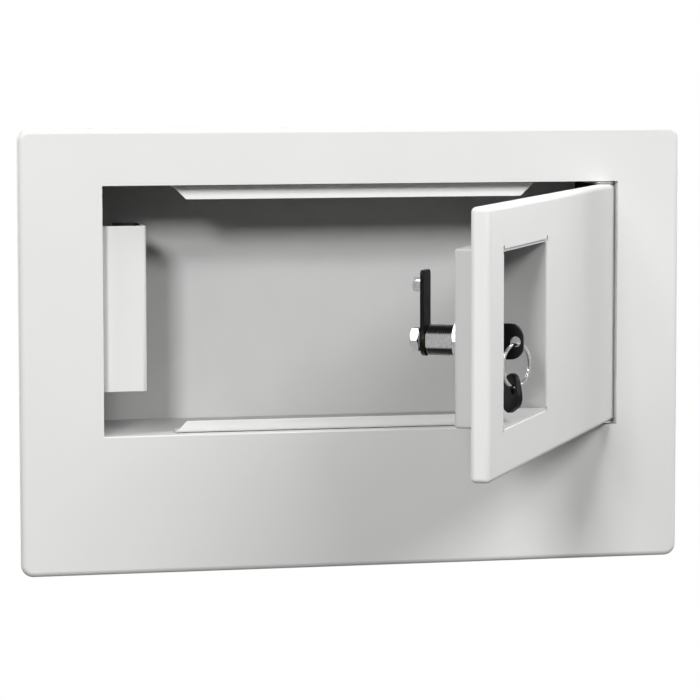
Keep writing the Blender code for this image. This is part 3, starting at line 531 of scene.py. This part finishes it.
for number in range(1, 5):
    node = f"hinge_rivet_{number}"
    low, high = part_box(node)
    length = high.z - low.z
    dome = [(RIVET_HEAD_RADIUS * math.cos(angle), length - RIVET_HEAD + RIVET_HEAD * math.sin(angle))
            for angle in [math.pi / 2 * step / DOME_STEPS for step in range(DOME_STEPS + 1)]]
    shank = [(0, 0), (RIVET_RADIUS, 0), (RIVET_RADIUS, length - RIVET_HEAD)]
    upwards = high.z > 0
    start = Vector(((low.x + high.x) / 2, (low.y + high.y) / 2, low.z if upwards else high.z))
    turn = Matrix.Rotation(0 if upwards else math.pi, 4, "X")
    rivet = place_shape(turned(shank + dome, RIVET_ROUND), Matrix.Translation(start) @ turn)
    make_piece(rivet, f"rivet_{number}", zinc, "body", "bare_steel", node)

# Door: a pan folded from one steel sheet, its edges turned in again behind, with a stiffening channel
# welded up the inside. The pocket's mouth is cut in its front, with a round relief at each corner, and
# all of it is enamelled like the plate.
DOOR_BEND = 0.003
DOOR_RETURN = 0.009
POCKET_FLANGE = 0.009
RELIEF_RADIUS = 0.0025
TO_Y = Matrix.Rotation(-math.pi / 2, 4, "X")


def shut_box(node):
    """Lowest and highest corner of a node of the door, as if the door were shut."""
    shut = OPEN.inverted()
    points = [shut @ vert.co for vert in frame["nodes"][node].data.vertices]
    return (Vector([min(point[axis] for point in points) for axis in range(3)]),
            Vector([max(point[axis] for point in points) for axis in range(3)]))


def combine(shape, tool, operation="DIFFERENCE"):
    """Cuts one closed shape out of another, or keeps what they share."""
    items = []
    for part in (shape, tool):
        mesh = bpy.data.meshes.new("part")
        part.to_mesh(mesh)
        part.free()
        item = bpy.data.objects.new("part", mesh)
        scene.collection.objects.link(item)
        items.append(item)
    boolean = items[0].modifiers.new("combine", "BOOLEAN")
    boolean.operation = operation
    boolean.solver = "EXACT"
    boolean.object = items[1]
    result = bmesh.new()
    result.from_object(items[0], bpy.context.evaluated_depsgraph_get())
    for item in items:
        mesh = item.data
        bpy.data.objects.remove(item, do_unlink=True)
        bpy.data.meshes.remove(mesh)
    return result


def drill(radius, start, end, steps=48):
    """A round rod along Z that leaves a hole."""
    return turned([(0, start), (radius, start), (radius, end), (0, end)], steps)


DOOR_LOW, DOOR_HIGH = shut_box("door_skin")
POCKET_LOW, POCKET_HIGH = shut_box("lock_pocket")
mouth_low = POCKET_LOW + Vector((POCKET_FLANGE, 0, POCKET_FLANGE))
mouth_high = POCKET_HIGH - Vector((POCKET_FLANGE, 0, POCKET_FLANGE))

door = block(DOOR_LOW, DOOR_HIGH)
round_edges(door, door.edges[:], DOOR_BEND, BEND_STEPS)
behind = [face for face in door.faces if face.normal.y > FLAT]
bmesh.ops.inset_region(door, faces=behind, thickness=DOOR_RETURN - DOOR_BEND, use_even_offset=True)
turned_in = Vector((DOOR_RETURN, 0, DOOR_RETURN))
drop_faces(door, 1, DOOR_LOW + turned_in, DOOR_HIGH - turned_in)
cut_window(door, mouth_low, mouth_high)
give_sheet(door, SHEET)
for side in (mouth_low.x, mouth_high.x):
    for end in (mouth_low.z, mouth_high.z):
        corner = drill(RELIEF_RADIUS, -SHEET, 2 * SHEET, SMALL_ROUND)
        door = combine(door, place_shape(corner, Matrix.Translation((side, DOOR_LOW.y, end)) @ TO_Y))
make_piece(place_shape(door, OPEN), "door_pan", enamel, "door", "paint", "door_skin")
make_piece(softened("door_stiffener"), "stiffener", enamel, "door", "paint", "door_stiffener")

# Lock pocket: a deep box drawn from thinner steel sheet, its flange spot-welded behind the door's skin.
# Fingers reach into it for the key, and the lock goes through a hole with two flats in its floor. It is
# painted the greyer inside white, a painted shade for the recess.
POCKET_SHEET = 0.0015
POCKET_BEND = 0.0016
POCKET_BEND_STEPS = 4
LOCK_LOW, LOCK_HIGH = shut_box("lock_body")
LOCK_MIDDLE = (LOCK_LOW + LOCK_HIGH) / 2
LOCK_RADIUS = 0.0095
LOCK_HALF_FLAT = 0.0082
LOCK_PLAY = 0.0003


def double_flat(shape, half_flat):
    """Cuts two flats along a round shape, left and right."""
    for side in (-1, 1):
        cut = bmesh.ops.bisect_plane(shape, geom=shape.verts[:] + shape.edges[:] + shape.faces[:],
                                     plane_co=(side * half_flat, 0, 0), plane_no=(side, 0, 0),
                                     clear_outer=True)
        rims = [part for part in cut["geom_cut"] if isinstance(part, bmesh.types.BMEdge)]
        bmesh.ops.holes_fill(shape, edges=rims)


floor_y = POCKET_HIGH.y - POCKET_SHEET
pocket = block(mouth_low, Vector((mouth_high.x, floor_y, mouth_high.z)))
drop_faces(pocket, -1)
round_edges(pocket, edges_along(pocket, 1) + edges_at(pocket, floor_y), POCKET_BEND, POCKET_BEND_STEPS)
grown = bmesh.ops.extrude_edge_only(pocket, edges=edges_at(pocket, POCKET_LOW.y))
middle = (mouth_low + mouth_high) / 2
for part in grown["geom"]:
    if isinstance(part, bmesh.types.BMVert):
        part.co.x += math.copysign(POCKET_FLANGE, part.co.x - middle.x)
        part.co.z += math.copysign(POCKET_FLANGE, part.co.z - middle.z)
give_sheet(pocket, POCKET_SHEET, outward=True)
hole = drill(LOCK_RADIUS + LOCK_PLAY, -SHEET, 2 * SHEET)
double_flat(hole, LOCK_HALF_FLAT + LOCK_PLAY)
place_shape(hole, Matrix.Translation((LOCK_MIDDLE.x, floor_y, LOCK_MIDDLE.z)) @ TO_Y)
pocket = combine(pocket, hole)
make_piece(place_shape(pocket, OPEN), "pocket", recess_shade_white, "door", "paint", "lock_pocket")

# Hinge blocks and pins: steel blocks welded in the door's corners hold short turned pins, which run in
# the leaves. All are zinc plated like them.
for node, name in (("hinge_block_upper", "upper_block"), ("hinge_block_lower", "lower_block"),
                   ("hinge_pin_upper", "upper_pin"), ("hinge_pin_lower", "lower_pin")):
    make_piece(softened(node), name, zinc, "door", "bare_steel", node)

# Cam lock: a die-cast body with a thin round head, threaded outside and milled flat on two sides so that
# it can't turn in the door. The head and the thread are a dark nickel, a painted dark reflection, and the
# flats bright nickel, which also paints in a highlight band.
DARK_REFLECTION_NICKEL = "363638"
DARK_REFLECTION_NICKEL_SHADE = "262628"
POLISH_MARKS = 0.0012
BRIGHT_NICKEL = "B4B4B4"
BRIGHT_NICKEL_SHADE = "8C8C8E"
BRIGHT_POLISH_MARKS = 0.0015
THREAD_PITCH = 0.0012
THREAD_DEPTH = 0.0005
LOCK_HEAD_RADIUS = 0.011
LOCK_HEAD = 0.0026
LOCK_BEVEL = 0.0008
LOCK_BORE = 0.0066
LARGE_ROUND = 64
FLAT_HIGHLIGHT_COAT = 1


def plated(name, light, shade, mark_size, detail, low, high, metallic=1.0, specular=0.5):
    """A metal skin of two close tones, rougher where its marks of this size are."""
    material, tree, shader, place = new_finish(name, metallic, specular)
    marks = noise(tree, place, mark_size, detail)
    two_tones(tree, shader, marks, light, shade)
    vary_roughness(tree, shader, marks, low, high)
    return material


def lock_line(low, high):
    """Lays a piece made about Z along the lock's line, in the open door, from the front of its box."""
    return OPEN @ Matrix.Translation(((low.x + high.x) / 2, low.y, (low.z + high.z) / 2)) @ TO_Y


# Dark nickel is a painted dark reflection on a nickel mirror, and bright nickel is a pale mirror. Polishing
# marks about a millimetre long break both up.
nickel = plated("nickel_plate", DARK_REFLECTION_NICKEL, DARK_REFLECTION_NICKEL_SHADE, POLISH_MARKS, 4, low=0.1, high=0.2)
bright_nickel = plated("bright_nickel_plate", BRIGHT_NICKEL, BRIGHT_NICKEL_SHADE, BRIGHT_POLISH_MARKS, 3,
                       low=0.12, high=0.24)

head = turned([(LOCK_BORE, 0), (LOCK_HEAD_RADIUS - LOCK_BEVEL, 0),
               (LOCK_HEAD_RADIUS - LOCK_BEVEL / 3, LOCK_BEVEL / 3), (LOCK_HEAD_RADIUS, LOCK_BEVEL),
               (LOCK_HEAD_RADIUS, LOCK_HEAD), (LOCK_BORE, LOCK_HEAD)], LARGE_ROUND, closed=True)
barrel_length = LOCK_HIGH.y - (LOCK_LOW.y + LOCK_HEAD)
ridges = []
for number in range(int(barrel_length / THREAD_PITCH)):
    start = LOCK_HEAD + number * THREAD_PITCH
    ridges += [(LOCK_RADIUS - THREAD_DEPTH, start), (LOCK_RADIUS, start + THREAD_PITCH * 0.4),
               (LOCK_RADIUS, start + THREAD_PITCH * 0.6)]
barrel_end = LOCK_HEAD + barrel_length
barrel = turned([(LOCK_BORE, LOCK_HEAD)] + ridges + [(LOCK_RADIUS - THREAD_DEPTH, barrel_end),
                (LOCK_BORE, barrel_end)], LARGE_ROUND, closed=True)
double_flat(barrel, LOCK_HALF_FLAT)
add_shape(barrel, head)
place_shape(barrel, lock_line(LOCK_LOW, LOCK_HIGH))
lock_barrel = make_piece(barrel, "lock_barrel", nickel, "door", "plating", "lock_body")
lock_barrel.data.materials.append(bright_nickel)
# The flats take bright nickel, which also paints in the highlight band along the barrel.
for face in lock_barrel.data.polygons:
    if abs(face.normal.dot(DOOR_ACROSS)) > FLAT and face.area > THREAD_PITCH ** 2:
        face.material_index = FLAT_HIGHLIGHT_COAT

# Washer and nut of the lock: a wide flat washer and a thin hexagon nut, run up the barrel from inside the
# door to clamp the lock. Steel in bright nickel plate, chamfered where the spanner starts.
NUT_CHAMFER = 0.0009
NUT_SLOPE = 0.6
NUT_ROUND = 96


def flat_washer(node, bore, body):
    """A flat washer in the place and size of its node, with its edges eased."""
    low, high = shut_box(node)
    radius, thickness = (high.x - low.x) / 2, high.y - low.y
    ease = thickness / 4
    washer = turned([(bore, 0), (radius - ease, 0), (radius, ease), (radius, thickness - ease),
                     (radius - ease, thickness), (bore, thickness)], LARGE_ROUND, closed=True)
    place_shape(washer, lock_line(low, high))
    make_piece(washer, node.replace("washer", "flat_ring"), bright_nickel, body, "plating", node)


def hexagon_nut(node, bore, body):
    """A hexagon nut in the place and size of its node, its corners turned down at both ends."""
    low, high = shut_box(node)
    across, thickness = high.z - low.z, high.y - low.y
    corner = across / 2 / math.cos(math.pi / 6)
    nut = bmesh.new()
    upright = Matrix.Translation((0, 0, thickness / 2)) @ Matrix.Rotation(math.pi / 6, 4, "Z")
    bmesh.ops.create_cone(nut, cap_ends=True, segments=6, radius1=corner, radius2=corner, depth=thickness,
                          matrix=upright)
    slope = (corner - across / 2) * NUT_SLOPE
    limit = turned([(0, 0), (across / 2, 0), (corner, slope), (corner, thickness - slope),
                    (across / 2, thickness), (0, thickness)], NUT_ROUND)
    nut = combine(nut, limit, "INTERSECT")
    ease = NUT_CHAMFER / 2
    thread = turned([(0, -ease), (bore + 2 * ease, -ease), (bore, ease), (bore, thickness - ease),
                     (bore + 2 * ease, thickness + ease), (0, thickness + ease)], LARGE_ROUND)
    nut = place_shape(combine(nut, thread), lock_line(low, high))
    make_piece(nut, node.replace("nut", "hexagon"), bright_nickel, body, "plating", node)


flat_washer("lock_washer", LOCK_RADIUS + LOCK_PLAY, "door")
hexagon_nut("lock_nut", LOCK_RADIUS + LOCK_PLAY, "door")

# Plug and wafers: the turned brass core that the key turns, with five thin stamped brass wafers across it,
# which the right key draws in.
BRASS = "C8AA62"
BRASS_SHADE = "A98C4C"
TARNISH_SIZE = 0.004
LINE_PITCH = 0.00377
LINE_DEPTH = 0.00002
WAVE_LENGTH = math.tau / 20

# Machined brass: a warm yellow metal, slightly tarnished in patches, with faint machining lines, drawn
# nearly 4 mm apart, much coarser than they are, so that they show.
brass, tree, shader, place = new_finish("machined_brass", metallic=1.0)
two_tones(tree, shader, noise(tree, place, TARNISH_SIZE, detail=3), BRASS, BRASS_SHADE)
lines = add_node(tree, "ShaderNodeTexWave", {"wave_type": "BANDS", "bands_direction": "Z"},
                 {"Scale": WAVE_LENGTH / LINE_PITCH, "Distortion": 0.4}, {"Vector": place})
relief(tree, shader, lines.outputs[0], LINE_DEPTH, strength=0.3)
shader.inputs["Roughness"].default_value = 0.3

make_piece(softened("lock_plug", EDGE_BREAK / 3), "plug", brass, "lock_rotor", "brass", "lock_plug")
for number in range(1, 6):
    node = f"wafer_{number}"
    make_piece(softened(node, EDGE_BREAK / 3), f"tumbler_{number}", brass, "lock_rotor", "brass", node)

# Cam, boss, washer and nut: a stamped steel cam on the plug's square end, held by a small washer and nut,
# with a turned boss riveted near its tip. The cam is blackened, and the rest bright nickel plated.
OXIDE = "0D0D0E"
OXIDE_SHADE = "161617"
OXIDE_MOTTLE = 0.002
STUD_BORE = 0.0033

# Black oxide: a thin oiled skin against rust, nearly black, with a dull metal sheen mottled every 2 mm.
oxide = plated("black_oxide", OXIDE, OXIDE_SHADE, OXIDE_MOTTLE, 4, low=0.3, high=0.45, metallic=0.6,
               specular=0.1)
make_piece(softened("cam"), "cam_plate", oxide, "lock_rotor", "plating", "cam")
low, high = shut_box("cam_boss")
radius, length = (high.x - low.x) / 2, high.y - low.y
boss = turned([(0, 0), (radius, 0), (radius, length - LOCK_BEVEL),
               (radius - LOCK_BEVEL / 3, length - LOCK_BEVEL / 3), (radius - LOCK_BEVEL, length),
               (0, length)])
place_shape(boss, lock_line(low, high))
make_piece(boss, "boss", bright_nickel, "lock_rotor", "plating", "cam_boss")
flat_washer("cam_washer", STUD_BORE, "lock_rotor")
hexagon_nut("cam_nut", STUD_BORE, "lock_rotor")

# Key: a bright nickel-plated blade, cut along one edge and milled with a groove on each face, its tang
# moulded into a black plastic head with a ring hole.
KEY_PLASTIC = "0B0B0C"
KEY_PLASTIC_SHADE = "131314"
GRAIN_SIZE = 0.0004
GRAIN_DEPTH = 0.00003
FLOW_MARKS = 0.006
KEY_HOLE_INSET = 0.0048
KEY_HOLE_RADIUS = 0.0033
KEY_HEAD_CORNER = 0.008
KEY_HEAD_EDGE = 0.0009
KEY_HEAD_EDGE_STEPS = 3
KEY_TANG = 0.011
SLOT_PLAY = Vector((0.0003, 0.0003, 0.0003))
GROOVE_HALF = 0.0007
GROOVE_DEPTH = 0.0005
GROOVE_RISES = ((-1, 0.0012), (1, 0.00192))
TO_X = Matrix.Rotation(math.pi / 2, 4, "Y")
HEAD_LOW, HEAD_HIGH = shut_box("key_head")
BLADE_LOW, BLADE_HIGH = shut_box("key_blade")
KEY_HOLE = Vector((LOCK_MIDDLE.x, HEAD_LOW.y + KEY_HOLE_INSET, LOCK_MIDDLE.z))
KEY_PLACE = OPEN @ Matrix.Translation(KEY_HOLE)


def key_head_shape():
    """A key's head about its ring hole, its length along Y, with the slot that its blade fills."""
    low, high = HEAD_LOW - KEY_HOLE, HEAD_HIGH - KEY_HOLE
    head = block(low, high)
    round_edges(head, edges_along(head, 0), KEY_HEAD_CORNER, CORNER_STEPS)
    faces = [face for face in head.faces if abs(face.normal.x) > FACING]
    round_edges(head, list({edge for face in faces for edge in face.edges}), KEY_HEAD_EDGE,
                KEY_HEAD_EDGE_STEPS)
    head = combine(head, place_shape(drill(KEY_HOLE_RADIUS, low.x - SHEET, high.x + SHEET), TO_X))
    return combine(head, block(BLADE_LOW - KEY_HOLE - SLOT_PLAY, BLADE_HIGH - KEY_HOLE + SLOT_PLAY))


def key_blade_shape():
    """A key's cut blade about its ring hole, its length along Y."""
    blade = place_shape(softened("key_blade", EDGE_BREAK / 2), KEY_PLACE.inverted())
    low, high = BLADE_LOW - KEY_HOLE, BLADE_HIGH - KEY_HOLE
    for side, rise in GROOVE_RISES:
        outer, inner = side * (high.x + GROOVE_DEPTH), side * (high.x - GROOVE_DEPTH)
        groove = block(Vector((min(outer, inner), low.y + KEY_TANG, rise - GROOVE_HALF)),
                       Vector((max(outer, inner), high.y + SHEET, rise + GROOVE_HALF)))
        blade = combine(blade, groove)
    return blade


# Moulded black plastic: nearly black with a soft sheen, from a spark-eroded mould. Its grain is drawn at
# 0.4 mm, coarser than it is, so that it shows.
plastic, tree, shader, place = new_finish("moulded_black_plastic", specular=0.12)
grain = noise(tree, place, GRAIN_SIZE, detail=2)
two_tones(tree, shader, noise(tree, place, FLOW_MARKS, detail=2), KEY_PLASTIC, KEY_PLASTIC_SHADE)
relief(tree, shader, grain, GRAIN_DEPTH, strength=0.25)
vary_roughness(tree, shader, grain, low=0.36, high=0.48)

key_blade = place_shape(key_blade_shape(), KEY_PLACE)
key_head = place_shape(key_head_shape(), KEY_PLACE)
make_piece(key_blade, "blade", bright_nickel, "key_in_lock", "plating", "key_blade")
make_piece(key_head, "head", plastic, "key_in_lock", "plastic", "key_head")

# Split ring: two turns of flattened spring wire side by side, with one crossing, threaded through both
# keys. Spring steel in the same bright nickel, smooth round the wire.
RING_RADIUS = 0.013
WIRE_HALF_WIDTH = 0.001
WIRE_HALF_THICKNESS = 0.00047
WIRE_SIDES = 20
TURN_STEPS = 72
CROSSING = math.radians(28)
CROSSING_STEPS = 10
CROSSING_PLACE = math.radians(-70)
RING_AXIS = Vector(joint("ring_turn")["axis"])
RING_MIDDLE = Vector(joint("ring_turn")["pos_m"])

wire = bmesh.new()
start = bmesh.ops.create_circle(wire, segments=WIRE_SIDES, radius=1)["verts"]
bmesh.ops.scale(wire, verts=start, vec=(WIRE_HALF_WIDTH, WIRE_HALF_THICKNESS, 1))
bmesh.ops.translate(wire, verts=start, vec=(RING_RADIUS, -WIRE_HALF_WIDTH / 2, 0))
section = start + list({edge for vert in start for edge in vert.link_edges})
bmesh.ops.holes_fill(wire, edges=section[len(start):])
for angle, steps, rise in ((math.tau - CROSSING, TURN_STEPS, 0), (CROSSING, CROSSING_STEPS, WIRE_HALF_WIDTH),
                           (math.tau - CROSSING, TURN_STEPS, 0)):
    swept = bmesh.ops.spin(wire, geom=section, cent=(0, 0, 0), axis=(0, 1, 0), angle=angle, steps=steps,
                           dvec=(0, rise / steps, 0))
    section = [part for part in swept["geom_last"] if not isinstance(part, bmesh.types.BMFace)]
bmesh.ops.holes_fill(wire, edges=[part for part in section if isinstance(part, bmesh.types.BMEdge)])
bmesh.ops.recalc_face_normals(wire, faces=wire.faces)
ring_way = Matrix.Rotation(math.atan2(RING_AXIS.x, -RING_AXIS.y), 4, "Z")
place_shape(wire, Matrix.Translation(RING_MIDDLE) @ ring_way @ Matrix.Rotation(CROSSING_PLACE, 4, "Y"))
make_piece(wire, "split_ring", bright_nickel, "ring", "bare_steel", "key_ring")

# Spare key: the same blade and moulded head again, hanging on the foot of the ring and turned towards the
# hinge, with its tip on the pocket's lower wall.
SPARE_TURN = math.radians(-52)
SPARE_DROP = math.radians(23.415)
SPARE_PLACE = (Matrix.Translation(Vector(joint("spare_swing")["pos_m"]))
               @ Matrix.Rotation(OPEN_ANGLE + SPARE_TURN, 4, "Z") @ Matrix.Rotation(-SPARE_DROP, 4, "X"))

spare_blade = place_shape(key_blade_shape(), SPARE_PLACE)
spare_head = place_shape(key_head_shape(), SPARE_PLACE)
make_piece(spare_blade, "spare_blade", bright_nickel, "hanging_key", "plating", "spare_key_blade")
make_piece(spare_head, "spare_head", plastic, "hanging_key", "plastic", "spare_key_head")
